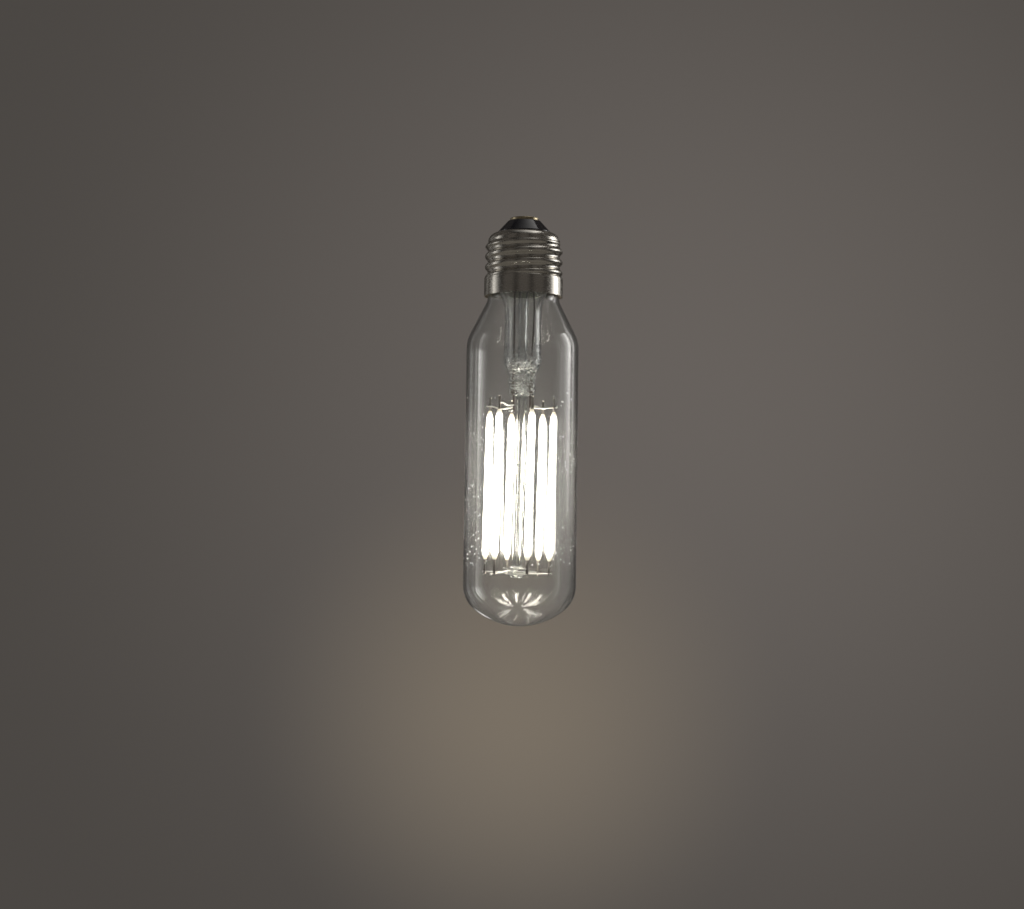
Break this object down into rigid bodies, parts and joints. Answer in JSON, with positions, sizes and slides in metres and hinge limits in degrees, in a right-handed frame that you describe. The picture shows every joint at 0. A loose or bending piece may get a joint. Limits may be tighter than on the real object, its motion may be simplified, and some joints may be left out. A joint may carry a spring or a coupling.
{
  "type": "tubular light bulb",
  "caption": "Clear tubular screw-cap light bulb with a domed end, a glass stem and a cage of upright glowing filaments.",
  "frame": {"origin": "middle of the centre contact's end face", "axes": "+Z along the bulb's axis towards the lampholder; the glass hangs towards -Z"},
  "size_m": [0.038, 0.038, 0.1378],
  "materials": {
    "envelope_glass": "clear polished glass",
    "stem_glass": "clear fire-polished glass",
    "filament_coat": "phosphor coating, lit",
    "pin_metal": "thin plated strip",
    "support_wire": "drawn nickel wire",
    "lead_wire": "dark drawn wire",
    "cap_shell": "nickel-plated sheet",
    "black_glass": "glossy black glass",
    "contact_brass": "pressed rivet",
    "cement": "rough baked cement",
    "board": "coated board",
    "package": "moulded package",
    "can": "sleeved can",
    "resistor": "lacquered body"
  },
  "bodies": {
    "root": {"cap_cement": "cement", "cap_insulator": "black_glass", "centre_contact": "contact_brass", "contact_lead": "lead_wire", "driver_board": "board", "driver_chip": "package", "exhaust_tube": "stem_glass", "filament_1": "filament_coat", "filament_1_lower_pin": "pin_metal", "filament_1_upper_pin": "pin_metal", "filament_2": "filament_coat", "filament_2_lower_pin": "pin_metal", "filament_2_upper_pin": "pin_metal", "filament_3": "filament_coat", "filament_3_lower_pin": "pin_metal", "filament_3_upper_pin": "pin_metal", "filament_4": "filament_coat", "filament_4_lower_pin": "pin_metal", "filament_4_upper_pin": "pin_metal", "filament_5": "filament_coat", "filament_5_lower_pin": "pin_metal", "filament_5_upper_pin": "pin_metal", "filament_6": "filament_coat", "filament_6_lower_pin": "pin_metal", "filament_6_upper_pin": "pin_metal", "fuse_resistor": "resistor", "glass_envelope": "envelope_glass", "lead_wire_left": "lead_wire", "lead_wire_right": "lead_wire", "lower_wire_1": "support_wire", "lower_wire_2": "support_wire", "lower_wire_3": "support_wire", "rectifier_bridge": "package", "screw_shell": "cap_shell", "shell_lead": "lead_wire", "smoothing_capacitor": "can", "stem_flare": "stem_glass", "support_rod": "stem_glass", "upper_wire_1": "support_wire", "upper_wire_2": "support_wire", "upper_wire_3": "support_wire", "upper_wire_4": "support_wire", "upper_wire_5": "support_wire", "upper_wire_6": "support_wire"}
  },
  "joints": []
}
